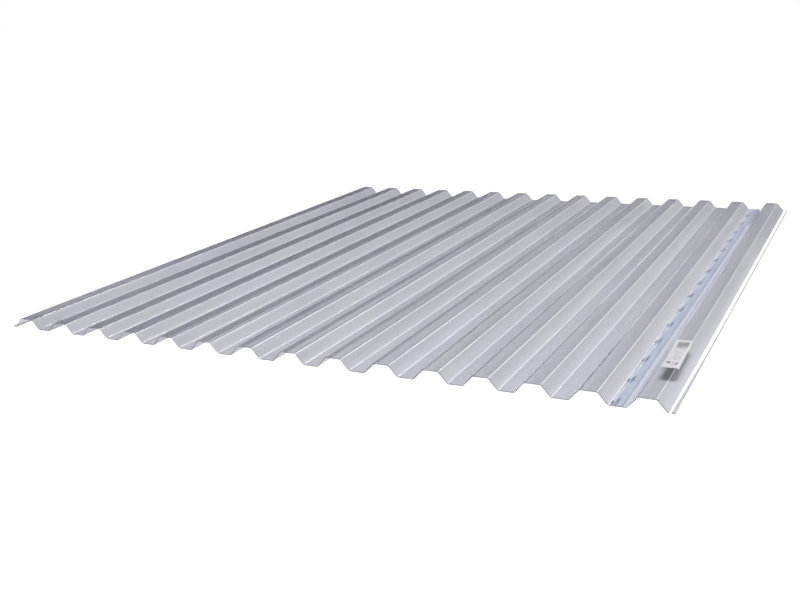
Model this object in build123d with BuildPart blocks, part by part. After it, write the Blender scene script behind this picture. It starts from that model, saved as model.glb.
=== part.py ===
"""Clear trapezoidal PVC roofing sheet with its printed film strip and paper label.

Frame: millimetres, +Z up. The ribs run along Y and the waves follow each other along X.
The origin is the middle of the sheet's underside, where its valleys rest on the ground.
"""

import os

from build123d import *

# Waves of the sheet, measured at the middle of its thickness
wave_pitch = 76.0
crest_count = 15
crest_flat = 24.0
valley_flat = 24.0
wave_depth = 16.0
sheet_thickness = 1.0
inner_bend_radius = 3.0
edge_foot = 9.0
sheet_length = 1250.0

# Film strip glued into the last valley before the +X edge, over the sheet's full length
strip_width = 17.5
strip_thickness = 0.1
strip_bend_margin = 1.4

# Paper label glued on the last crest at the +X edge, behind the front end
label_width = 22.0
label_length = 116.0
label_thickness = 0.15
label_front_margin = 115.0
label_corner_radius = 1.5

# Adhesive between the sheet and what is glued on it
glue_line = 0.05

# Levels and places that follow from the values above
middle_of_valley = sheet_thickness / 2
middle_of_crest = middle_of_valley + wave_depth
valley_top = sheet_thickness
crest_top = sheet_thickness + wave_depth
slope_run = (wave_pitch - crest_flat - valley_flat) / 2
last_crest_x = wave_pitch * (crest_count - 1) / 2
last_valley_x = last_crest_x - wave_pitch / 2
sheet_edge_x = last_crest_x + crest_flat / 2 + slope_run + edge_foot
front_end_y = -sheet_length / 2


def wave_corners():
    """Corners of the waves at mid thickness, from the -X edge to the +X edge."""
    corners = [(-sheet_edge_x, middle_of_valley)]
    for crest in range(crest_count):
        crest_x = wave_pitch * crest - last_crest_x
        half_crest = crest_flat / 2
        corners.append((crest_x - half_crest - slope_run, middle_of_valley))
        corners.append((crest_x - half_crest, middle_of_crest))
        corners.append((crest_x + half_crest, middle_of_crest))
        corners.append((crest_x + half_crest + slope_run, middle_of_valley))
    corners.append((sheet_edge_x, middle_of_valley))
    return corners


# One sheet of even thickness, bent into trapezoidal waves with small rounds
with BuildPart() as profiled_sheet:
    with BuildSketch(Plane.XZ):
        with BuildLine() as wave_line:
            FilletPolyline(*wave_corners(), radius=inner_bend_radius + sheet_thickness / 2)
        trace(wave_line.line, line_width=sheet_thickness)
    extrude(amount=sheet_length / 2, both=True)

# Thin film against the foot of the slope on the valley's -X side
strip_x = last_valley_x - valley_flat / 2 + strip_bend_margin + strip_width / 2
with BuildPart() as film_strip:
    with BuildSketch(Plane.XY.offset(valley_top + glue_line)):
        with Locations((strip_x, 0)):
            Rectangle(strip_width, sheet_length)
    extrude(amount=strip_thickness)

# Paper label with slightly rounded corners on the crest's flat
label_y = front_end_y + label_front_margin + label_length / 2
with BuildPart() as paper_label:
    with BuildSketch(Plane.XY.offset(crest_top + glue_line)):
        with Locations((last_crest_x, label_y)):
            RectangleRounded(label_width, label_length, label_corner_radius)
    extrude(amount=label_thickness)

profiled_sheet.part.label = "profiled_sheet"
film_strip.part.label = "film_strip"
paper_label.part.label = "paper_label"

os.makedirs("parts", exist_ok=True)
export_step(profiled_sheet.part, "parts/profiled_sheet.step")
export_step(film_strip.part, "parts/film_strip.step")
export_step(paper_label.part, "parts/paper_label.step")
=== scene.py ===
"""Clear trapezoidal PVC sheet with its film strip and paper label, lying in a plain pale studio.

Metres, +Z up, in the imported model's frame. The ribs run along Y and the waves follow each other along X.
"""

import math

import bmesh
import bpy
from bpy.props import FloatProperty, FloatVectorProperty, PointerProperty
from mathutils import Matrix, Vector


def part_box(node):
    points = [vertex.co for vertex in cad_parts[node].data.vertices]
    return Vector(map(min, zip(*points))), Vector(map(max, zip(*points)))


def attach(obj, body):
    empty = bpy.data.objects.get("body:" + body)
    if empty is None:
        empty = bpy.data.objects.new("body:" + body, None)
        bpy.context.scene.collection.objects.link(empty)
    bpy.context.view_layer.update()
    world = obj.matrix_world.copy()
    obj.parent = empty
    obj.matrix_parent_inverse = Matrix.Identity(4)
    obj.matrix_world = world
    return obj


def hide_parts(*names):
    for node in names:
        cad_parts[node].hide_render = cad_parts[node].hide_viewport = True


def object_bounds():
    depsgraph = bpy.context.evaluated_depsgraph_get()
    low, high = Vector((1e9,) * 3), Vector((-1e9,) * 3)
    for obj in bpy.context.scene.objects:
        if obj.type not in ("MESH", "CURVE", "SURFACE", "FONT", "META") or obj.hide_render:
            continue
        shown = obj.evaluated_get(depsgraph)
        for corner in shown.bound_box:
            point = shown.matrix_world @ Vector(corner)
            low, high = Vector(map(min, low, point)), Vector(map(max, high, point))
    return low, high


bl_info = {
    "name": "Trapezoidal PVC Sheet",
    "version": (1, 0, 0),
    "blender": (4, 5, 0),
    "location": "3D View > Sidebar > PVC Sheet",
    "description": "Dresses a clear trapezoidal roofing sheet, its film strip and its label, and lights them",
    "category": "Object",
}

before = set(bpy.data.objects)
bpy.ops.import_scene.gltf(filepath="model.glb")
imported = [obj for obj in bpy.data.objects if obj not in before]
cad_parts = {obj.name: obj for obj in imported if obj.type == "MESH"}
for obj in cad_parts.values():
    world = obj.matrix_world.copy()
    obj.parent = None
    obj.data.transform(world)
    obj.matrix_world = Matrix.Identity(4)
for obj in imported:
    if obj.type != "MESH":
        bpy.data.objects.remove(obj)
CAD_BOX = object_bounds()
MM = 0.001

# The sheet's waves: how many, and in how many steps each bend and each rib is made
CREST_COUNT = 15
BEND_STEPS = 6
RIB_STEPS = 28
FILM_STEPS = 2
SHARP = math.radians(50)

# How the ribs stray. Each row is a smooth hill: its height as a share of the wander, and its middle and width
# as shares of half the sheet's width. A swing is the same from end to end, and a bow is widest halfway. The
# ripple turns by so many radians in half the width and in half the length.
SWING = ((0.87, 0.4, 0.2), (-0.75, -0.22, 0.19), (0.2, -0.75, 0.15))
BOW = ((0.74, 0.12, 0.2), (0.5, 0.74, 0.17), (-0.45, -0.75, 0.22))
RIPPLE = 0.02
RIPPLE_TURNS = (6, 5.1)
HELD_AT_EDGES = 0.08

# Finish of the sheet, in millimetres across and along the ribs. Its draw lines are long and come and go in
# clouds, and the cast drifts in wide streaks. A pattern sets in between the two values of its edges.
DRAW_LINE_LENGTH = 900
DRAW_LINE_DEPTH = 0.003
CLOUD_SIZE = (60, 240)
CAST_SIZE = (38, 300)
CAST_EDGES = (0.42, 0.6)
DRAWN_EDGES = (0.17, 0.36)
DRAWN_SHARE = 0.7
DULLER_EDGES = (0.35, 0.7)
CUT_RIM = 0.3

# Typical values of each material: how strongly it bends light, and how rough its surface is
PVC_IOR = 1.54
PVC_ROUGHNESS = (0.04, 0.1)
CUT_ROUGHNESS = 0.5
FILM_IOR = 1.49
FILM_ROUGHNESS = 0.16
PAPER_IOR = 1.5
PAPER_ROUGHNESS = 0.45

# The foot along the +X edge, in millimetres: its width, and how its rim narrows from the front end backwards
FOOT_WIDTH = 8.5
RIM_WIDTHS = (5.0, 2.0)
RIM_TAPER = 260
RIM_BLUR = 0.4
FOOT_BLUR = 1

# Pale colour painted up the last crest's slope beside the film, as a painted reflection of the film there,
# in millimetres: its sides, and the heights and places along Y at which it ends
REFLECTION_SIDES = (501.2, 521)
REFLECTION_TOP = (14, 16)
REFLECTION_END = (430, 480)

# Print of the film, in millimetres from its corner at -X and -Y. Each stroke is an area: its range across and
# its range along each repeat. The pale streak drifts inwards by so much in a repeat.
FILM_STROKES = (((5.8, 7), (1, 22)), ((7.7, 8.8), (7, 28)), ((0.8, 3), (5, 15)))
FILM_EDGE_LINE = (16.5, 17.6)
FILM_EDGE_INK = 0.45
# The pale border along the -X side is a painted highlight of the valley's bend beside it
FILM_PAINTED_HIGHLIGHT = (1, 2.2)
FILM_RAGGED = 1.2
FILM_STREAK = (1.2, 2.8)
FILM_STREAK_START = (8, 30)
FILM_STREAK_DRIFT = 3.6
INK_CLEARNESS = 0.2

# Print of the label, in millimetres from its corner at -X and -Y
LABEL_LINE_PITCH = 6.5
LABEL_LINE = (1.5, 4)
LABEL_LINES = ((4, 19), (33, 72))
LABEL_BLOCK_SIDES = (5, 20.5)
LABEL_BLOCK_FRONT = (74, 92)
LABEL_BLOCK_REAR = (107, 110)
LABEL_MARK = ((3.6, 8.4), (17, 24))
LABEL_SPOTS = ((11, 19), (13, 24))
FIBRE_SHADE = 0.93

# The label lies this far beside the crest's middle, and droops past the crest's bend, in millimetres
LABEL_SHIFT = 2.4
LABEL_FOLDS = (542.5, 544.5, 546)
LABEL_DROOP = 0.06
LABEL_CORNER_STEPS = 4

# Floor, in metres: its fades, which darken its colour as painted shade, are distances from the pool's
# middle and places along Y. The wave is how bright the painted pool of light is under the crests and under
# the valleys, as shares of its glow.
FLOOR_HALF = 60
FLOOR_GAP = 0.5 * MM
POOL_MIDDLE = (0.7, -0.6, 0)
PAINTED_POOL_WAVE = (0.2, 1.95)
FLOOR_SHADE_FADE = (1.0, 2.0)
REAR_FADE = (0.63, 0.95)

# Room behind the sheet, in metres. Sides are places along X, and heights are above the floor. The backdrop
# fades with height and along X. A share of the far side above 1 is cut to 1, so that its fade starts later.
DOME_RADIUS = 50
PANEL_PLACE = 20
STRIP_LIGHT_SIDES = (-1.0, 4.3)
STRIP_LIGHT_HEIGHTS = (3.6, 24)
BACKDROP_PLACE = 21
BACKDROP_SIDES = (-26, 24)
BACKDROP_HEIGHTS = (0, 9)
BACKDROP_FADE_UP = (2.5, 9)
BACKDROP_FADE_SIDE = (-13, -1)
BACKDROP_FAR_SIDE = (-24, -17)
FAR_SIDE_SHARE = 1.25
SIDE_LIGHT_SIDES = (4.3, 26)
SIDE_LIGHT_HEIGHTS = (1.6, 24)
SIDE_LIGHT_FADE = (3, 5.5)
LOW_SCREEN_SIDES = (-8, -4.5)
LOW_SCREEN_HEIGHTS = (0.1, 2.8)
LOW_SCREEN_FADE = (-6.5, -4.5)

# Lamp overhead: how wide it looks from the sheet, and the way to it
LAMP_ANGLE = math.radians(33)
LAMP_SIDE = Vector((0.1, 0.3, 1))

# Camera: the photograph's frame is 800 pixels wide, and its focal length is given in those pixels
FRAME_WIDTH = 800
FOCAL_PIXELS = 995.35
SENSOR = 36
CAMERA_PLACE = Vector((0.7896, -1.7896, 0.5074))
CAMERA_YAW = math.radians(27.186)
CAMERA_DIP = math.radians(16.671)
CAMERA_ROLL = math.radians(-2.968)

# Sockets of a Mix node that mixes colours
FACTOR, FIRST, SECOND, MIXED = 0, 6, 7, 2


def linear(code):
    """Linear colour of an sRGB hex code."""
    parts = [int(code[start : start + 2], 16) / 255 for start in (0, 2, 4)]
    return tuple(part / 12.92 if part <= 0.04045 else ((part + 0.055) / 1.055) ** 2.4 for part in parts)


def span(low, high):
    """Middle and half width of a range, as a comparison takes them."""
    return (low + high) / 2, (high - low) / 2


def per_metre(size):
    """How often a pattern of this size in millimetres repeats in a metre."""
    return 1 / (size * MM)


def colour_setting(name, code, description):
    """A colour that a user may change, with its default as an sRGB hex code."""
    return FloatVectorProperty(
        name=name, description=description, subtype="COLOR", size=3, min=0, max=1, default=linear(code)
    )


def length_setting(name, size, description):
    """A length that a user may change, with its default in millimetres."""
    return FloatProperty(
        name=name, description=description, subtype="DISTANCE", unit="LENGTH", min=0, default=size * MM
    )


class SheetSettings(bpy.types.PropertyGroup):
    """Sizes and finish of the clear sheet."""

    pitch: length_setting("Wave pitch", 76, "Distance from one crest to the next")
    crest: length_setting("Crest", 24, "Width of a crest's flat, between the corners of the middle line")
    valley: length_setting("Valley", 24, "Width of a valley's flat, between the corners of the middle line")
    depth: length_setting("Depth", 16, "Height of the waves")
    thickness: length_setting("Thickness", 1, "Thickness of the sheet")
    bend: length_setting("Bend radius", 3.5, "Radius of the bends at the middle of the thickness")
    wander: length_setting("Wander", 4.6, "How far the ribs stray sideways, as they do in a thin sheet")
    tint: colour_setting("Tint", "D7D7E0", "What one pass through the clear sheet lets through")
    plain_tint: colour_setting("Plain tint", "D8DADD", "Tint where the cast is weaker")
    drawn_tint: colour_setting("Drawn tint", "CECED5", "Tint along the faint draw lines")
    cut_tint: colour_setting("Cut edge", "C4C4C8", "Tint of the sawn edges")
    line_spacing: length_setting("Draw lines", 12, "Distance between the faint lines along the ribs")
    clearness: FloatProperty(
        name="Clearness", description="Share of the light that passes without scattering",
        default=0.96, min=0, max=1, subtype="FACTOR",
    )
    foot_clearness: FloatProperty(
        name="Clear foot", description="How far the foot along the +X edge is lost against the floor",
        default=0.95, min=0, max=1, subtype="FACTOR",
    )
    shadow_pass: FloatProperty(
        name="Light through", description="Share of the lamps' light that each face lets through",
        default=0.95, min=0, max=1, subtype="FACTOR",
    )
    # Painted reflection: a pale colour on the last crest's slope that stands in for the film mirrored there
    painted_reflection: colour_setting("Glue", "E2E6F5", "Milky glue beside the film, up the last crest's slope")
    painted_reflection_share: FloatProperty(
        name="Glue haze", description="How milky the glue is", default=0.85, min=0, max=1, subtype="FACTOR"
    )


class FilmSettings(bpy.types.PropertyGroup):
    """Finish of the printed film strip."""

    blue: colour_setting("Blue", "D6DFF4", "Main colour of the film")
    teal: colour_setting("Teal", "D9E8F0", "Colour of its greener patches")
    lilac: colour_setting("Lilac", "DADAF2", "Colour of its redder patches")
    # The pale colour also paints the highlight of the valley's bend along the film's -X border
    pale: colour_setting("Pale border", "F2F5FA", "Colour of the border along the slope")
    ink: colour_setting("Ink", "46506A", "Colour of the printed dashes")
    opacity: FloatProperty(
        name="Opacity", description="How much of what lies under it each face hides",
        default=0.42, min=0, max=1, subtype="FACTOR",
    )
    # Opacity of the painted highlight along the border, and of the pale streak
    border_opacity: FloatProperty(
        name="Border opacity", description="How much each face hides along the pale border",
        default=0.7, min=0, max=1, subtype="FACTOR",
    )
    shadow_pass: FloatProperty(
        name="Light through", description="Share of the lamps' light that each face lets through",
        default=0.9, min=0, max=1, subtype="FACTOR",
    )
    repeat: length_setting("Repeat", 82.7, "Distance from one printed dash to the next")


class LabelSettings(bpy.types.PropertyGroup):
    """Size and finish of the paper label."""

    width: length_setting("Width", 23.4, "Size across the ribs")
    length: length_setting("Length", 117, "Size along the ribs")
    corner: length_setting("Corner radius", 1.5, "Radius of the corners")
    askew: FloatProperty(
        name="Askew", description="How far the label is turned", default=math.radians(1.5),
        subtype="ANGLE", unit="ROTATION",
    )
    paper: colour_setting("Paper", "DEDDE0", "Coated paper")
    block: colour_setting("Block", "8A8A8A", "Printed grey block")
    print_grey: colour_setting("Print", "A09FA5", "Faint printed lines")
    mark: colour_setting("Mark", "6A666C", "Small dark marks")


class StageSettings(bpy.types.PropertyGroup):
    """Floor, light and surroundings."""

    floor: colour_setting("Floor", "FAFAFA", "Matt floor under the sheet")
    # Painted shade: the floor's colour darkens farther from the light and behind the sheet, out of the light
    far_floor_painted_shade: colour_setting("Far floor", "D8D8DD", "Matt floor farther from the light")
    rear_floor_painted_shade: colour_setting("Rear floor", "A6A6AC", "Matt floor behind the sheet, out of the light")
    surround: colour_setting("Room", "4F4E57", "Dim room that the sheet mirrors")
    backdrop: colour_setting("Backdrop", "909098", "Lit foot of the backdrop behind the sheet")
    strip: FloatProperty(
        name="Strip light", description="Brightness of the strip light's top end", default=16, min=0
    )
    strip_foot: FloatProperty(
        name="Strip light's foot", description="Brightness of the strip light's lower end", default=0.7, min=0
    )
    screen: FloatProperty(name="Low screen", description="Brightness of the low screen", default=2.2, min=0)
    screen_end: FloatProperty(
        name="Low screen's end", description="Brightness of the low screen's +X end", default=0.6, min=0
    )
    side: FloatProperty(
        name="Side light", description="Brightness of the wide side light", default=0.27, min=0
    )
    side_foot: FloatProperty(
        name="Side light's foot", description="Brightness of the side light's lower end", default=0.5, min=0
    )
    lamp: FloatProperty(
        name="Lamp", description="Light from the soft source overhead, where 1 shows a colour as it is",
        default=0.9, min=0,
    )
    ambient: FloatProperty(
        name="Ambient", description="Even light from all round, where 1 shows a colour as it is",
        default=0.16, min=0,
    )
    ambient_colour: colour_setting("Ambient colour", "DBD8EA", "Colour of the even light, and so of shadows")
    glow: FloatProperty(
        name="Floor glow", description="What keeps the floor white to the eye", default=0.46, min=0
    )
    glow_colour: colour_setting("Glow", "E6E4F3", "Colour of the floor's glow")
    rear_glow: FloatProperty(
        name="Rear floor glow", description="What keeps the floor behind the sheet white to the eye",
        default=0.85, min=0,
    )
    # Painted light: the pool under the sheet is a glow painted in the floor's material, not a lamp
    painted_pool_glow: FloatProperty(
        name="Pool glow", description="Light in the middle of the pool under the sheet", default=0.22, min=0
    )
    pool: FloatProperty(
        name="Pool of light", description="How far the glow reaches under the sheet from its front corner",
        default=1.8, min=0.1, subtype="DISTANCE", unit="LENGTH",
    )


def add(tree, kind, inputs=(), **settings):
    """Adds a node. inputs holds a value, a node or a node's output for each socket, by name or in order."""
    made = tree.nodes.new(kind)
    for name, value in settings.items():
        setattr(made, name, value)
    pairs = inputs.items() if isinstance(inputs, dict) else enumerate(inputs)
    for socket, value in pairs:
        if isinstance(value, bpy.types.Node):
            value = value.outputs[0]
        if isinstance(value, bpy.types.NodeSocket):
            tree.links.new(value, made.inputs[socket])
        else:
            made.inputs[socket].default_value = value
    return made


def opaque(colour):
    """A property's colour as the four numbers that a socket takes."""
    return (*colour, 1)


def new_material(name):
    """An empty node material and its tree."""
    material = bpy.data.materials.new(name)
    material.use_nodes = True
    material.node_tree.nodes.clear()
    return material, material.node_tree


def millimetres(tree, corner=(0, 0, 0), turn=0):
    """X, Y and Z of the surface in millimetres from a corner given in metres, for a piece turned about Z."""
    place = add(tree, "ShaderNodeTexCoord").outputs["Object"]
    moved = add(tree, "ShaderNodeVectorMath", (place, tuple(corner)), operation="SUBTRACT")
    straight = add(tree, "ShaderNodeVectorRotate", {"Vector": moved, "Angle": -turn}, rotation_type="Z_AXIS")
    scaled = add(tree, "ShaderNodeVectorMath", (straight, (1 / MM,) * 3), operation="MULTIPLY")
    return add(tree, "ShaderNodeSeparateXYZ", (scaled,)).outputs


def inside_area(tree, x, y, area):
    """1 inside an area that is given as its range in X and its range in Y, 0 elsewhere."""
    across, along = area
    beside = add(tree, "ShaderNodeMath", (x, *span(*across)), operation="COMPARE")
    level = add(tree, "ShaderNodeMath", (y, *span(*along)), operation="COMPARE")
    return add(tree, "ShaderNodeMath", (beside, level), operation="MULTIPLY")


def grain(tree, across, along, detail=2.0, seed=0.0):
    """Streaky noise from 0 to 1 with grains of these sizes in millimetres across and along the ribs."""
    place = add(tree, "ShaderNodeTexCoord").outputs["Object"]
    scale = (per_metre(across), per_metre(along), per_metre(across))
    stretched = add(tree, "ShaderNodeMapping", {"Vector": place, "Scale": scale, "Location": (seed,) * 3})
    return add(tree, "ShaderNodeTexNoise", {"Vector": stretched, "Scale": 1.0, "Detail": detail})


def worn(tree, size, edges, values=(0, 1), detail=2.0, seed=0.0):
    """Uneven wear: grain of this size, which runs from one value to the other between its edges."""
    pattern = grain(tree, *size, detail=detail, seed=seed)
    return add(tree, "ShaderNodeMapRange", (pattern, *edges, *values))


def patched(tree, pattern, under, over, edges, most=1):
    """Lays a colour over another where a pattern rises from one edge to the other, by this share at most."""
    share = add(tree, "ShaderNodeMapRange", (pattern, *edges, 0, most))
    mixed = add(tree, "ShaderNodeMix", {FACTOR: share, FIRST: under, SECOND: over}, data_type="RGBA")
    return mixed.outputs[MIXED]


def printed(tree, area, wear, under, ink):
    """Prints an ink over a colour in an area, as strongly as the wear leaves it."""
    left = add(tree, "ShaderNodeMath", (area, wear), operation="MULTIPLY")
    mixed = add(tree, "ShaderNodeMix", {FACTOR: left, FIRST: under, SECOND: ink}, data_type="RGBA")
    return mixed.outputs[MIXED]


def let_light_through(tree, surface, share):
    """Ends a clear material: light on its way to what lies behind goes straight through, dimmed to this."""
    path = add(tree, "ShaderNodeLightPath").outputs
    rays = (path["Is Shadow Ray"], path["Is Diffuse Ray"])
    passing = add(tree, "ShaderNodeMath", rays, operation="MAXIMUM")
    window = add(tree, "ShaderNodeBsdfTransparent", {"Color": (share, share, share, 1)})
    mixed = add(tree, "ShaderNodeMixShader", (passing, surface, window))
    add(tree, "ShaderNodeOutputMaterial", {"Surface": mixed})


def clear_pvc(settings):
    """Rigid clear PVC, extruded and bent while hot: glassy, with a cool cast and faint lines along the ribs.

    Real draw lines are too fine to show, so they are drawn coarser.
    """
    material, tree = new_material("Rigid_clear_PVC")
    lines = grain(tree, settings.line_spacing / MM, DRAW_LINE_LENGTH, detail=1)
    clouds = grain(tree, *CLOUD_SIZE, seed=4)
    casts = grain(tree, *CAST_SIZE, detail=1, seed=9)
    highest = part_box("profiled_sheet")[1]
    edge_x, edge_y = highest.x / MM, highest.y / MM

    # The cast drifts from lilac to a neutral grey, and faint draw lines come and go
    cast = patched(tree, casts, opaque(settings.tint), opaque(settings.plain_tint), CAST_EDGES)
    drawn = add(tree, "ShaderNodeMath", (lines, clouds), operation="MULTIPLY")
    body = patched(tree, drawn, cast, opaque(settings.drawn_tint), DRAWN_EDGES, DRAWN_SHARE)

    # A pale milky colour painted up the last crest's slope beside the film: a painted reflection of the film
    x, y, z = millimetres(tree)
    beside = add(tree, "ShaderNodeMath", (x, *span(*REFLECTION_SIDES)), operation="COMPARE")
    lower_part = add(tree, "ShaderNodeMapRange", (z, *REFLECTION_TOP, settings.painted_reflection_share, 0))
    reflection_mask = add(tree, "ShaderNodeMath", (beside, lower_part), operation="MULTIPLY")
    front_part = add(tree, "ShaderNodeMapRange", (y, *REFLECTION_END, 1, 0))
    reflection_mask = add(tree, "ShaderNodeMath", (reflection_mask, front_part), operation="MULTIPLY")
    milky = {FACTOR: reflection_mask, FIRST: body, SECOND: opaque(settings.painted_reflection)}
    body = add(tree, "ShaderNodeMix", milky, data_type="RGBA").outputs[MIXED]
    clear_share = add(tree, "ShaderNodeMapRange", (reflection_mask, 0, 1, settings.clearness, 0))

    # Sawn ends and long edges, which are dull
    across = (CUT_RIM - edge_x, edge_x - CUT_RIM)
    along = (CUT_RIM - edge_y, edge_y - CUT_RIM)
    uncut = inside_area(tree, x, y, (across, along))
    sawn = {FACTOR: uncut, FIRST: opaque(settings.cut_tint), SECOND: body}
    colour = add(tree, "ShaderNodeMix", sawn, data_type="RGBA").outputs[MIXED]
    smooth = add(tree, "ShaderNodeMapRange", (lines, *DULLER_EDGES, *PVC_ROUGHNESS))
    roughness = add(tree, "ShaderNodeMix", {0: uncut, 2: CUT_ROUGHNESS, 3: smooth})

    # The draw lines are a very low relief too, which stirs what the sheet mirrors
    relief = add(tree, "ShaderNodeBump", {"Strength": 1.0, "Distance": DRAW_LINE_DEPTH * MM, "Height": lines})
    body_shader = add(
        tree,
        "ShaderNodeBsdfPrincipled",
        {
            "Base Color": colour,
            "Roughness": roughness,
            "IOR": PVC_IOR,
            "Transmission Weight": clear_share,
            "Normal": relief,
        },
    )

    # The foot along the +X edge lies flat on the floor and is lost against it, up to a rim that is wider in
    # front
    rim = add(tree, "ShaderNodeMapRange", (y, -edge_y, -edge_y + RIM_TAPER, *RIM_WIDTHS))
    rim_side = add(tree, "ShaderNodeMath", (x, rim), operation="ADD")
    before_rim = add(tree, "ShaderNodeMapRange", (rim_side, edge_x - RIM_BLUR, edge_x + RIM_BLUR, 1, 0))
    foot_start = edge_x - FOOT_WIDTH
    foot_ends = (foot_start, foot_start + FOOT_BLUR, 0, settings.foot_clearness)
    foot = add(tree, "ShaderNodeMapRange", (x, *foot_ends))
    lost = add(tree, "ShaderNodeMath", (foot, before_rim), operation="MULTIPLY")
    clear = add(tree, "ShaderNodeBsdfTransparent", {"Color": (1, 1, 1, 1)})
    seen = add(tree, "ShaderNodeMixShader", (lost, body_shader, clear))

    let_light_through(tree, seen, settings.shadow_pass)
    return material


def printed_film(settings):
    """Thin clear film printed on one face: milky blue with teal, lilac and pale patches and dark dashes."""
    material, tree = new_material("Printed_clear_film")
    x, y, _ = millimetres(tree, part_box("film_strip")[0])
    pale = opaque(settings.pale)

    # Patches of the printed wash, and fine pale flecks on it
    teal = grain(tree, 8, 34, detail=3)
    lilac = grain(tree, 10, 60, detail=2, seed=3)
    flecks = grain(tree, 2.5, 8, detail=3, seed=12)
    wash = patched(tree, teal, opaque(settings.blue), opaque(settings.teal), edges=(0.44, 0.58))
    wash = patched(tree, lilac, wash, opaque(settings.lilac), edges=(0.5, 0.62))
    wash = patched(tree, flecks, wash, pale, edges=(0.5, 0.62), most=0.55)

    # A pale border on the -X side, a painted highlight of the valley's bend beside it, made ragged, and a
    # pale streak that drifts inwards
    repeat = settings.repeat / MM
    turn = add(tree, "ShaderNodeMath", (y, repeat), operation="FLOORED_MODULO")
    ragged = worn(tree, (4, 14), edges=(0.3, 0.7), values=(-FILM_RAGGED, FILM_RAGGED), detail=3, seed=6)
    from_edge = add(tree, "ShaderNodeMath", (x, ragged), operation="ADD")
    edge = add(tree, "ShaderNodeMapRange", (from_edge, *FILM_PAINTED_HIGHLIGHT, 1, 0))
    drift = (turn, -FILM_STREAK_DRIFT / repeat, from_edge)
    drifted = add(tree, "ShaderNodeMath", drift, operation="MULTIPLY_ADD")
    in_streak = add(tree, "ShaderNodeMath", (drifted, *span(*FILM_STREAK)), operation="COMPARE")
    started = add(tree, "ShaderNodeMapRange", (turn, *FILM_STREAK_START, 0, 1))
    streak = add(tree, "ShaderNodeMath", (in_streak, started), operation="MULTIPLY")
    border = add(tree, "ShaderNodeMath", (edge, streak), operation="MAXIMUM")
    bordered = {FACTOR: border, FIRST: wash, SECOND: pale}
    colour = add(tree, "ShaderNodeMix", bordered, data_type="RGBA").outputs[MIXED]

    # Two soft strokes in each repeat and a short mark beside them, and a darker line where the +X edge ends
    first, second, beside = (inside_area(tree, x, turn, area) for area in FILM_STROKES)
    strokes = add(tree, "ShaderNodeMath", (first, second), operation="MAXIMUM")
    marks = add(tree, "ShaderNodeMath", (strokes, beside), operation="MAXIMUM")
    wear = worn(tree, (1.6, 4), edges=(0.34, 0.5), values=(0.35, 1), detail=2, seed=1)
    worn_marks = add(tree, "ShaderNodeMath", (marks, wear), operation="MULTIPLY")
    on_line = add(tree, "ShaderNodeMath", (x, *span(*FILM_EDGE_LINE)), operation="COMPARE")
    edge_line = add(tree, "ShaderNodeMath", (on_line, FILM_EDGE_INK), operation="MULTIPLY")
    inked = add(tree, "ShaderNodeMath", (worn_marks, edge_line), operation="MAXIMUM")
    dashed = {FACTOR: inked, FIRST: colour, SECOND: opaque(settings.ink)}
    colour = add(tree, "ShaderNodeMix", dashed, data_type="RGBA").outputs[MIXED]
    shares = (1 - settings.opacity, 1 - settings.border_opacity)
    clear = add(tree, "ShaderNodeMapRange", (border, 0, 1, *shares))
    clearness = add(tree, "ShaderNodeMix", {0: inked, 2: clear, 3: INK_CLEARNESS})

    finish = {"Roughness": FILM_ROUGHNESS, "IOR": FILM_IOR}
    finish.update({"Base Color": colour, "Transmission Weight": clearness})
    let_light_through(tree, add(tree, "ShaderNodeBsdfPrincipled", finish), settings.shadow_pass)
    return material


def label_middle():
    """Middle of the label's upper face."""
    lowest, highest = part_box("paper_label")
    middle = (lowest + highest) / 2
    return Vector((middle.x + LABEL_SHIFT * MM, middle.y, highest.z))


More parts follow.
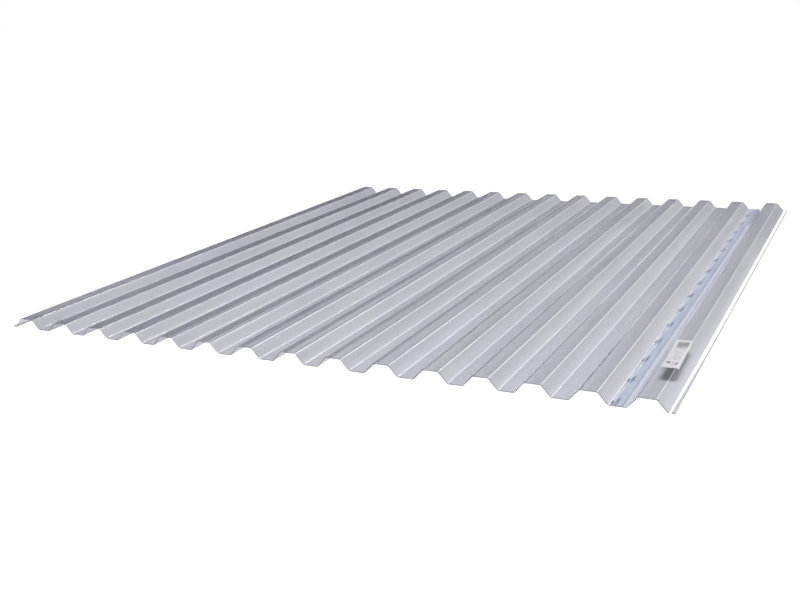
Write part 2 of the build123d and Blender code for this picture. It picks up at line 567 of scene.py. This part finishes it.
def label_paper(settings):
    """Coated white paper with a printed grey block, faint lines and small marks."""
    material, tree = new_material("Coated_label_paper")
    half = Vector((settings.width, settings.length, 0)) / 2
    corner = label_middle() - Matrix.Rotation(settings.askew, 3, "Z") @ half
    x, y, _ = millimetres(tree, corner, settings.askew)

    # Paper fibres are too fine to show, so they are drawn as coarse as the render can show them
    fibres = grain(tree, 1.5, 1.5, detail=4)
    shaded = opaque(tuple(FIBRE_SHADE * part for part in settings.paper))
    colour = patched(tree, fibres, opaque(settings.paper), shaded, edges=(0.3, 0.7))

    # Faint print in short lines across the label, broken up
    row = add(tree, "ShaderNodeMath", (y, LABEL_LINE_PITCH), operation="FLOORED_MODULO")
    on_line = add(tree, "ShaderNodeMath", (row, *span(*LABEL_LINE)), operation="COMPARE")
    lines = (on_line, inside_area(tree, x, y, LABEL_LINES))
    rows = add(tree, "ShaderNodeMath", lines, operation="MULTIPLY")
    broken = worn(tree, (3, 4), edges=(0.45, 0.56), values=(0, 0.9), detail=3, seed=5)
    colour = printed(tree, rows, broken, colour, opaque(settings.print_grey))

    # A grey block with soft ends
    beside = add(tree, "ShaderNodeMath", (x, *span(*LABEL_BLOCK_SIDES)), operation="COMPARE")
    front_end = add(tree, "ShaderNodeMapRange", (y, *LABEL_BLOCK_FRONT, 0, 1))
    rear_end = add(tree, "ShaderNodeMapRange", (y, *LABEL_BLOCK_REAR, 1, 0))
    ends = add(tree, "ShaderNodeMath", (front_end, rear_end), operation="MULTIPLY")
    block = add(tree, "ShaderNodeMath", (beside, ends), operation="MULTIPLY")
    uneven = worn(tree, (7, 12), edges=(0.35, 0.65), values=(0.75, 1), detail=2, seed=8)
    colour = printed(tree, block, uneven, colour, opaque(settings.block))

    # Small dark marks towards the front end
    spotted = worn(tree, (3.5, 5), edges=(0.48, 0.55), detail=3, seed=11)
    spots = (inside_area(tree, x, y, LABEL_SPOTS), spotted)
    spots = add(tree, "ShaderNodeMath", spots, operation="MULTIPLY")
    marks = (inside_area(tree, x, y, LABEL_MARK), spots)
    marks = add(tree, "ShaderNodeMath", marks, operation="MAXIMUM")
    marked = {FACTOR: marks, FIRST: colour, SECOND: opaque(settings.mark)}
    colour = add(tree, "ShaderNodeMix", marked, data_type="RGBA").outputs[MIXED]

    finish = {"Base Color": colour, "Roughness": PAPER_ROUGHNESS, "IOR": PAPER_IOR}
    add(tree, "ShaderNodeOutputMaterial", {"Surface": add(tree, "ShaderNodeBsdfPrincipled", finish)})
    return material


def place_piece(name, shape, material, node):
    """Links a finished mesh as a piece that stands for a CAD node."""
    mesh = bpy.data.meshes.new(name)
    shape.to_mesh(mesh)
    shape.free()
    mesh.materials.append(material)
    piece = bpy.data.objects.new(name, mesh)
    bpy.context.scene.collection.objects.link(piece)
    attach(piece, "root")
    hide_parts(node)
    return piece


def wave_corners(settings, edge):
    """Corners of the sheet's middle line across the ribs, from the -X edge to the +X edge."""
    low = settings.thickness / 2
    high = low + settings.depth
    slope = (settings.pitch - settings.crest - settings.valley) / 2
    corners = [(-edge, low)]
    for wave in range(CREST_COUNT):
        middle = (wave - (CREST_COUNT - 1) / 2) * settings.pitch
        half = settings.crest / 2
        corners += [(middle - half - slope, low), (middle - half, high)]
        corners += [(middle + half, high), (middle + half + slope, low)]
    corners.append((edge, low))
    return corners


def hills(place, rows):
    """Height at a place of smooth hills side by side, each given by its height, its middle and its width."""
    return sum(height * math.exp(-(((place - middle) / width) ** 2)) for height, middle, width in rows)


def strayed(x, y, edges, settings):
    """How far a rib lies beside its straight line, because a thin sheet never lies quite straight.

    The ribs stray to one side and the other across the width, and bow between the two ends. edges is the
    sheet's corner at +X and +Y.
    """
    across = x / edges.x
    along = y / edges.y
    ripple = RIPPLE * math.sin(RIPPLE_TURNS[1] * along + RIPPLE_TURNS[0] * across)
    held = min(1, (1 - abs(across)) / HELD_AT_EDGES)
    return settings.wander * held * (hills(across, SWING) + hills(across, BOW) * (1 - along**2) + ripple)


def waved_sheet(settings):
    """The bent sheet with smooth bends, whose ribs stray a little as the real ones do."""
    lowest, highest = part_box("profiled_sheet")
    mesh = bmesh.new()
    corners = [mesh.verts.new((x, lowest.y, z)) for x, z in wave_corners(settings, highest.x)]
    for first, second in zip(corners, corners[1:]):
        mesh.edges.new((first, second))
    slope = (settings.pitch - settings.crest - settings.valley) / 2
    tangent = settings.bend * math.tan(math.atan2(settings.depth, slope) / 2)
    bmesh.ops.bevel(
        mesh, geom=corners[1:-1], affect="VERTICES", offset=tangent, offset_type="OFFSET",
        segments=BEND_STEPS, profile=0.5, material=-1,
    )
    drawn = bmesh.ops.extrude_edge_only(mesh, edges=mesh.edges[:])["geom"]
    ends = [part for part in drawn if isinstance(part, bmesh.types.BMVert)]
    bmesh.ops.translate(mesh, vec=(0, highest.y - lowest.y, 0), verts=ends)
    ribs = [edge for edge in mesh.edges if abs(edge.verts[0].co.y - edge.verts[1].co.y) > MM]
    bmesh.ops.subdivide_edges(mesh, edges=ribs, cuts=RIB_STEPS - 1, use_grid_fill=True)
    for vert in mesh.verts:
        vert.co.x += strayed(vert.co.x, vert.co.y, highest, settings)

    # The middle surface moves down to the underside, and gets its thickness upwards from there
    bmesh.ops.recalc_face_normals(mesh, faces=mesh.faces)
    mesh.normal_update()
    side = math.copysign(1, sum(face.normal.z for face in mesh.faces))
    steps = [vert.normal * vert.calc_shell_factor() for vert in mesh.verts]
    for vert, step in zip(mesh.verts, steps):
        vert.co -= step * side * settings.thickness / 2
    bmesh.ops.solidify(mesh, geom=mesh.faces[:], thickness=-side * settings.thickness)
    bmesh.ops.recalc_face_normals(mesh, faces=mesh.faces)
    for vert in mesh.verts:
        vert.co.y = min(max(vert.co.y, lowest.y), highest.y)
    for face in mesh.faces:
        face.smooth = True
    for edge in mesh.edges:
        edge.smooth = edge.calc_face_angle(0) < SHARP
    return mesh


class PVCSHEET_OT_make_sheet(bpy.types.Operator):
    """Makes the clear sheet with its fine waves and its finish"""

    bl_idname = "pvcsheet.make_sheet"
    bl_label = "Make the Sheet"

    def execute(self, context):
        settings = context.scene.pvc_sheet
        piece = place_piece("waved_sheet", waved_sheet(settings), clear_pvc(settings), "profiled_sheet")
        flats = piece.modifiers.new("Flats", "WEIGHTED_NORMAL")
        flats.keep_sharp = True
        return {"FINISHED"}


def valley_film(settings):
    """The film strip, which follows the stray of the valley that it is stuck into."""
    lowest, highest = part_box("film_strip")
    mesh = bmesh.new()
    bmesh.ops.create_grid(mesh, x_segments=FILM_STEPS, y_segments=RIB_STEPS, size=0.5)
    bmesh.ops.scale(mesh, vec=(highest.x - lowest.x, highest.y - lowest.y, 1), verts=mesh.verts)
    middle = (lowest + highest) / 2
    bmesh.ops.translate(mesh, vec=(middle.x, middle.y, highest.z), verts=mesh.verts)
    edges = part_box("profiled_sheet")[1]
    for vert in mesh.verts:
        vert.co.x += strayed(middle.x, vert.co.y, edges, settings)
    bmesh.ops.solidify(mesh, geom=mesh.faces[:], thickness=highest.z - lowest.z)
    bmesh.ops.recalc_face_normals(mesh, faces=mesh.faces)
    return mesh


class PVCSHEET_OT_make_film(bpy.types.Operator):
    """Makes the film strip in the last valley, with its print"""

    bl_idname = "pvcsheet.make_film"
    bl_label = "Make the Film Strip"

    def execute(self, context):
        scene = context.scene
        shape, material = valley_film(scene.pvc_sheet), printed_film(scene.pvc_film)
        piece = place_piece("valley_film", shape, material, "film_strip")
        return {"FINISHED"}


def stuck_label(settings):
    """The label, stuck on a little askew, with its +X border drooping past the crest's bend."""
    lowest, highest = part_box("paper_label")
    mesh = bmesh.new()
    bmesh.ops.create_grid(mesh, x_segments=1, y_segments=1, size=0.5)
    bmesh.ops.scale(mesh, vec=(settings.width, settings.length, 1), verts=mesh.verts)
    bmesh.ops.bevel(
        mesh, geom=mesh.verts[:], affect="VERTICES", offset=settings.corner, offset_type="OFFSET",
        segments=LABEL_CORNER_STEPS, profile=0.5, material=-1,
    )
    bmesh.ops.rotate(mesh, matrix=Matrix.Rotation(settings.askew, 3, "Z"), verts=mesh.verts)
    bmesh.ops.translate(mesh, vec=label_middle(), verts=mesh.verts)
    for fold in LABEL_FOLDS:
        parts = mesh.verts[:] + mesh.edges[:] + mesh.faces[:]
        bmesh.ops.bisect_plane(mesh, geom=parts, plane_co=(fold * MM, 0, 0), plane_no=(1, 0, 0))
    for vert in mesh.verts:
        past_bend = max(0, vert.co.x / MM - LABEL_FOLDS[0])
        vert.co.z -= LABEL_DROOP * past_bend**2 * MM
    bmesh.ops.solidify(mesh, geom=mesh.faces[:], thickness=highest.z - lowest.z)
    bmesh.ops.recalc_face_normals(mesh, faces=mesh.faces)
    return mesh


class PVCSHEET_OT_make_label(bpy.types.Operator):
    """Makes the paper label, with its print"""

    bl_idname = "pvcsheet.make_label"
    bl_label = "Make the Label"

    def execute(self, context):
        settings = context.scene.pvc_label
        piece = place_piece("stuck_label", stuck_label(settings), label_paper(settings), "paper_label")
        return {"FINISHED"}


def seen_directly(tree):
    """1 for what the camera sees directly, mirrored or through the sheet."""
    path = add(tree, "ShaderNodeLightPath").outputs
    rays = (path["Is Camera Ray"], path["Is Glossy Ray"])
    mirrored = add(tree, "ShaderNodeMath", rays, operation="MAXIMUM")
    return add(tree, "ShaderNodeMath", (mirrored, path["Is Transmission Ray"]), operation="MAXIMUM")


def stage_piece(name, mesh, material):
    """Links a mesh as a part of the stage."""
    piece_mesh = bpy.data.meshes.new(name)
    mesh.to_mesh(piece_mesh)
    mesh.free()
    piece_mesh.materials.append(material)
    piece = bpy.data.objects.new(name, piece_mesh)
    bpy.context.scene.collection.objects.link(piece)
    return piece


def make_floor(settings, pitch):
    """A matt pale floor that glows a little to the eye, so that it looks white and keeps its shadows.

    Through the sheet it shows a painted pool of light in waves: a glow in the floor's material that
    stands in for the light a clear waved sheet gathers under its valleys. Its colour is darker farther
    from that pool and behind the sheet, as painted shade.
    """
    material, tree = new_material("Studio_floor_paper")
    place = add(tree, "ShaderNodeTexCoord").outputs["Object"]
    x, y, _ = add(tree, "ShaderNodeSeparateXYZ", (place,)).outputs
    away = add(tree, "ShaderNodeVectorMath", (place, POOL_MIDDLE), operation="DISTANCE").outputs["Value"]
    # Painted shade: the floor's colour darkens farther from the pool's middle and behind the sheet
    behind = add(tree, "ShaderNodeMapRange", (y, *REAR_FADE, 0, 1))
    colour = patched(tree, away, opaque(settings.floor), opaque(settings.far_floor_painted_shade), FLOOR_SHADE_FADE)
    darker = {FACTOR: behind, FIRST: colour, SECOND: opaque(settings.rear_floor_painted_shade)}
    colour = add(tree, "ShaderNodeMix", darker, data_type="RGBA").outputs[MIXED]
    matt = add(tree, "ShaderNodeBsdfDiffuse", {"Color": colour})

    # The waves of painted light are lowest under the crests
    phase = add(tree, "ShaderNodeMath", (x, math.tau / pitch, math.pi), operation="MULTIPLY_ADD")
    wave = add(tree, "ShaderNodeMath", (phase,), operation="COSINE")
    waves = add(tree, "ShaderNodeMapRange", (wave, -1, 1, *PAINTED_POOL_WAVE))
    pool = add(tree, "ShaderNodeMapRange", (away, 0, settings.pool, settings.painted_pool_glow, 0))
    pool = add(tree, "ShaderNodeMath", (pool, waves), operation="MULTIPLY")

    camera = add(tree, "ShaderNodeLightPath").outputs["Is Camera Ray"]
    even = add(tree, "ShaderNodeMapRange", (behind, 0, 1, settings.glow, settings.rear_glow))
    even = add(tree, "ShaderNodeMath", (camera, even), operation="MULTIPLY")
    strength = add(tree, "ShaderNodeMath", (even, pool), operation="MAXIMUM")
    strength = add(tree, "ShaderNodeMath", (seen_directly(tree), strength), operation="MULTIPLY")
    glow = add(tree, "ShaderNodeEmission", (opaque(settings.glow_colour), strength))
    total = add(tree, "ShaderNodeAddShader", (matt, glow))
    add(tree, "ShaderNodeOutputMaterial", {"Surface": total})
    mesh = bmesh.new()
    bmesh.ops.create_grid(mesh, x_segments=1, y_segments=1, size=FLOOR_HALF)
    bmesh.ops.translate(mesh, vec=(0, 0, CAD_BOX[0].z - FLOOR_GAP), verts=mesh.verts)
    stage_piece("studio_floor", mesh, material)


def seen_by_the_sheet(piece):
    """Leaves a part of the stage to what the sheet mirrors and passes on."""
    piece.visible_camera = False
    piece.visible_diffuse = False
    piece.visible_shadow = False


def upright_panel(name, place, sides, heights, material):
    """A glowing panel that stands behind the sheet, for its bends and slopes to catch."""
    panel = bmesh.new()
    left, right = sides
    low, high = heights
    corners = ((left, low), (right, low), (right, high), (left, high))
    panel.faces.new([panel.verts.new((x, place, z)) for x, z in corners])
    seen_by_the_sheet(stage_piece(name, panel, material))


def room_light(settings):
    """The dim room all round."""
    material, tree = new_material("Studio_dim_room")
    light = add(tree, "ShaderNodeEmission", {"Color": opaque(settings.surround)})
    add(tree, "ShaderNodeOutputMaterial", {"Surface": light})
    return material


def backdrop_light(settings):
    """The lit foot of the backdrop, which fades upwards and to the left, and its lit far end on the left."""
    material, tree = new_material("Studio_backdrop_light")
    place = add(tree, "ShaderNodeTexCoord").outputs["Object"]
    x, _, z = add(tree, "ShaderNodeSeparateXYZ", (place,)).outputs
    rising = add(tree, "ShaderNodeMapRange", (z, *BACKDROP_FADE_UP, 1, 0))
    sideways = add(tree, "ShaderNodeMapRange", (x, *BACKDROP_FADE_SIDE, 0, 1))
    foot = add(tree, "ShaderNodeMath", (rising, sideways), operation="MULTIPLY")
    far_side = add(tree, "ShaderNodeMapRange", (x, *BACKDROP_FAR_SIDE, FAR_SIDE_SHARE, 0))
    share = add(tree, "ShaderNodeMath", (foot, far_side), operation="MAXIMUM")
    lit = {FACTOR: share, FIRST: opaque(settings.surround), SECOND: opaque(settings.backdrop)}
    colour = add(tree, "ShaderNodeMix", lit, data_type="RGBA").outputs[MIXED]
    light = add(tree, "ShaderNodeEmission", {"Color": colour})
    add(tree, "ShaderNodeOutputMaterial", {"Surface": light})
    return material


def strip_light(settings):
    """The tall strip light, which grows brighter upwards, slowly at first."""
    material, tree = new_material("Studio_strip_light")
    place = add(tree, "ShaderNodeTexCoord").outputs["Object"]
    height = add(tree, "ShaderNodeSeparateXYZ", (place,)).outputs["Z"]
    rise = add(tree, "ShaderNodeMapRange", (height, *STRIP_LIGHT_HEIGHTS, 0, 1))
    rise = add(tree, "ShaderNodeMath", (rise, rise), operation="MULTIPLY")
    strength = add(tree, "ShaderNodeMapRange", (rise, 0, 1, settings.strip_foot, settings.strip))
    light = add(tree, "ShaderNodeEmission", {"Strength": strength})
    add(tree, "ShaderNodeOutputMaterial", {"Surface": light})
    return material


def fading_light(name, axis, places, strengths):
    """A light whose strength changes from one place to another along X or Z."""
    material, tree = new_material(name)
    place = add(tree, "ShaderNodeTexCoord").outputs["Object"]
    along = add(tree, "ShaderNodeSeparateXYZ", (place,)).outputs[axis]
    strength = add(tree, "ShaderNodeMapRange", (along, *places, *strengths))
    light = add(tree, "ShaderNodeEmission", {"Strength": strength})
    add(tree, "ShaderNodeOutputMaterial", {"Surface": light})
    return material


def make_room(settings):
    """The dim room that the sheet mirrors, with its backdrop, strip light, side light and low screen."""
    dome = bmesh.new()
    bmesh.ops.create_icosphere(dome, subdivisions=3, radius=DOME_RADIUS)
    seen_by_the_sheet(stage_piece("studio_room", dome, room_light(settings)))
    backdrop, strip = backdrop_light(settings), strip_light(settings)
    side_ends = (settings.side_foot, settings.side)
    side = fading_light("Studio_side_light", "Z", SIDE_LIGHT_FADE, side_ends)
    screen_ends = (settings.screen, settings.screen_end)
    screen = fading_light("Studio_low_screen", "X", LOW_SCREEN_FADE, screen_ends)
    upright_panel("studio_backdrop", BACKDROP_PLACE, BACKDROP_SIDES, BACKDROP_HEIGHTS, backdrop)
    upright_panel("studio_strip_light", PANEL_PLACE, STRIP_LIGHT_SIDES, STRIP_LIGHT_HEIGHTS, strip)
    upright_panel("studio_side_light", PANEL_PLACE, SIDE_LIGHT_SIDES, SIDE_LIGHT_HEIGHTS, side)
    upright_panel("studio_low_screen", PANEL_PLACE, LOW_SCREEN_SIDES, LOW_SCREEN_HEIGHTS, screen)


def make_world(settings):
    """White to the eye, with a softer even light on the object."""
    world = bpy.data.worlds.new("Studio_light")
    world.use_nodes = True
    tree = world.node_tree
    tree.nodes.clear()
    seen = seen_directly(tree)
    strength = add(tree, "ShaderNodeMapRange", (seen, 0, 1, settings.ambient, 1))
    shades = {FACTOR: seen, FIRST: opaque(settings.ambient_colour), SECOND: (1, 1, 1, 1)}
    colour = add(tree, "ShaderNodeMix", shades, data_type="RGBA").outputs[MIXED]
    light = add(tree, "ShaderNodeBackground", {"Color": colour, "Strength": strength})
    add(tree, "ShaderNodeOutputWorld", {"Surface": light})
    bpy.context.scene.world = world


def make_lamp(settings):
    """One very wide soft source overhead, a little towards the sheet's rear end."""
    data = bpy.data.lights.new("Overhead_light", "SUN")
    data.angle = LAMP_ANGLE
    data.energy = settings.lamp * math.pi
    lamp = bpy.data.objects.new("Overhead_light", data)
    lamp.rotation_mode = "QUATERNION"
    lamp.rotation_quaternion = LAMP_SIDE.to_track_quat("Z", "Y")
    bpy.context.scene.collection.objects.link(lamp)


def make_camera():
    """A camera at the photograph's viewing angle."""
    data = bpy.data.cameras.new("Camera")
    data.sensor_width = SENSOR
    data.lens = FOCAL_PIXELS / FRAME_WIDTH * SENSOR
    data.clip_end = 2 * DOME_RADIUS
    camera = bpy.data.objects.new("Camera", data)
    turn = Matrix.Rotation(CAMERA_YAW, 4, "Z") @ Matrix.Rotation(math.pi / 2 - CAMERA_DIP, 4, "X")
    roll = Matrix.Rotation(CAMERA_ROLL, 4, "Z")
    camera.matrix_world = Matrix.Translation(CAMERA_PLACE) @ turn @ roll
    bpy.context.scene.collection.objects.link(camera)
    bpy.context.scene.camera = camera


class PVCSHEET_OT_stage(bpy.types.Operator):
    """Sets the floor, the light and the camera"""

    bl_idname = "pvcsheet.stage"
    bl_label = "Set the Stage"

    def execute(self, context):
        settings = context.scene.pvc_stage
        make_floor(settings, context.scene.pvc_sheet.pitch)
        make_room(settings)
        make_world(settings)
        make_lamp(settings)
        make_camera()
        context.scene.view_settings.view_transform = "Standard"
        return {"FINISHED"}


class PVCSHEET_PT_panel(bpy.types.Panel):
    """Lists the steps that dress the sheet"""

    bl_label = "PVC Sheet"
    bl_space_type = "VIEW_3D"
    bl_region_type = "UI"
    bl_category = "PVC Sheet"

    def draw(self, context):
        for operator in OPERATORS:
            self.layout.operator(operator.bl_idname)
        for holder in SETTINGS:
            group = getattr(context.scene, holder)
            box = self.layout.box()
            for name in group.bl_rna.properties.keys():
                if name not in ("rna_type", "name"):
                    box.prop(group, name)


OPERATORS = (PVCSHEET_OT_make_sheet, PVCSHEET_OT_make_film, PVCSHEET_OT_make_label, PVCSHEET_OT_stage)
SETTINGS = {
    "pvc_sheet": SheetSettings,
    "pvc_film": FilmSettings,
    "pvc_label": LabelSettings,
    "pvc_stage": StageSettings,
}


def register():
    """Registers the settings, the operators and the panel."""
    for holder, group in SETTINGS.items():
        bpy.utils.register_class(group)
        setattr(bpy.types.Scene, holder, PointerProperty(type=group))
    for operator in OPERATORS:
        bpy.utils.register_class(operator)
    bpy.utils.register_class(PVCSHEET_PT_panel)


def unregister():
    """Takes back what register() added."""
    bpy.utils.unregister_class(PVCSHEET_PT_panel)
    for operator in reversed(OPERATORS):
        bpy.utils.unregister_class(operator)
    for holder, group in SETTINGS.items():
        delattr(bpy.types.Scene, holder)
        bpy.utils.unregister_class(group)


def main():
    """Dresses the whole model."""
    register()
    bpy.ops.pvcsheet.make_sheet()
    bpy.ops.pvcsheet.make_film()
    bpy.ops.pvcsheet.make_label()
    bpy.ops.pvcsheet.stage()


if __name__ == "__main__":
    main()
